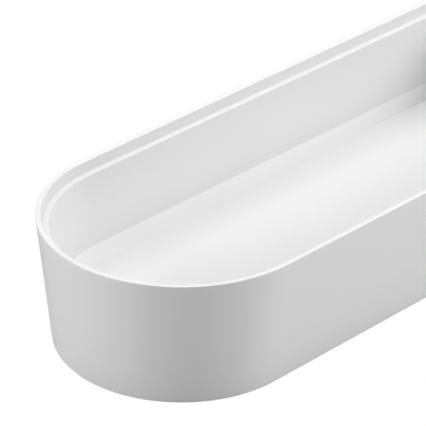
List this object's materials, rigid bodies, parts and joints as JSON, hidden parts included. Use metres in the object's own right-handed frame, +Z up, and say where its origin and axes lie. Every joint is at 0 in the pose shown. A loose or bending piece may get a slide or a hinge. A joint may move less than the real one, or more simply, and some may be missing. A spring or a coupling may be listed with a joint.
{
  "type": "self watering planter",
  "caption": "Long low white planter with half-round ends: casing, lift-out water liner, and a grow insert with wick baskets, filler, level gauge and folding bails.",
  "frame": {"origin": "on the table, under the middle of the casing's bounding box", "axes": "+X along the trough from the open filling bay to the grow insert, +Y across it, +Z up"},
  "size_m": [0.8, 0.16, 0.0792],
  "materials": {
    "casing_plastic": "satin gloss white moulded plastic",
    "liner_plastic": "satin white moulded plastic",
    "insert_plastic": "pale grey moulded plastic, fine matt grain",
    "basket_plastic": "dark grey moulded plastic",
    "rubber": "soft moulded rubber",
    "felt": "needled capillary felt",
    "pin_steel": "ground stainless pin",
    "clear_plastic": "clear moulded plastic",
    "float_foam": "closed cell float",
    "flag_plastic": "red indicator"
  },
  "bodies": {
    "casing": {"outer_casing": "casing_plastic", "foot_pad_1": "rubber", "foot_pad_2": "rubber", "foot_pad_3": "rubber", "foot_pad_4": "rubber", "foot_pad_5": "rubber", "foot_pad_6": "rubber"},
    "liner": {"reservoir_liner": "liner_plastic"},
    "drain_plug": {"drain_plug": "rubber", "drain_washer": "rubber"},
    "insert": {"grow_insert": "insert_plastic", "wick_basket_1": "basket_plastic", "wick_basket_2": "basket_plastic", "wick_basket_3": "basket_plastic", "capillary_mat": "felt", "bail_pin_1": "pin_steel", "bail_pin_2": "pin_steel", "bail_pin_3": "pin_steel", "bail_pin_4": "pin_steel", "fill_tube": "insert_plastic", "fill_strainer": "basket_plastic", "flap_pin": "pin_steel", "gauge_tube": "clear_plastic", "gauge_cap": "clear_plastic", "gauge_grommet": "rubber"},
    "bail_left": {"bail_left": "insert_plastic"},
    "bail_right": {"bail_right": "insert_plastic"},
    "fill_flap": {"fill_flap": "insert_plastic"},
    "gauge_float": {"gauge_float": "float_foam", "gauge_stem": "float_foam", "gauge_flag": "flag_plastic"}
  },
  "joints": [
    {"name": "liner_lift", "type": "slide", "parent": "casing", "child": "liner", "axis": [0, 0, 1], "range_m": [0, 0.09]},
    {"name": "drain_plug_pull", "type": "slide", "parent": "liner", "child": "drain_plug", "axis": [0, 0, 1], "range_m": [0, 0.08]},
    {"name": "insert_lift", "type": "slide", "parent": "liner", "child": "insert", "axis": [0, 0, 1], "range_m": [0, 0.085]},
    {"name": "bail_left_swing", "type": "hinge", "parent": "insert", "child": "bail_left", "pos_m": [0.20211, 0.06142, 0.0681], "axis": [-1, 0, 0], "range_deg": [0, 90]},
    {"name": "bail_right_swing", "type": "hinge", "parent": "insert", "child": "bail_right", "pos_m": [0.20211, -0.06142, 0.0681], "axis": [1, 0, 0], "range_deg": [0, 90]},
    {"name": "flap_swing", "type": "hinge", "parent": "insert", "child": "fill_flap", "pos_m": [0.0183, -0.04642, 0.0732], "axis": [0, -1, 0], "range_deg": [0, 110]},
    {"name": "float_rise", "type": "slide", "parent": "insert", "child": "gauge_float", "axis": [0, 0, 1], "range_m": [0, 0.009]}
  ]
}
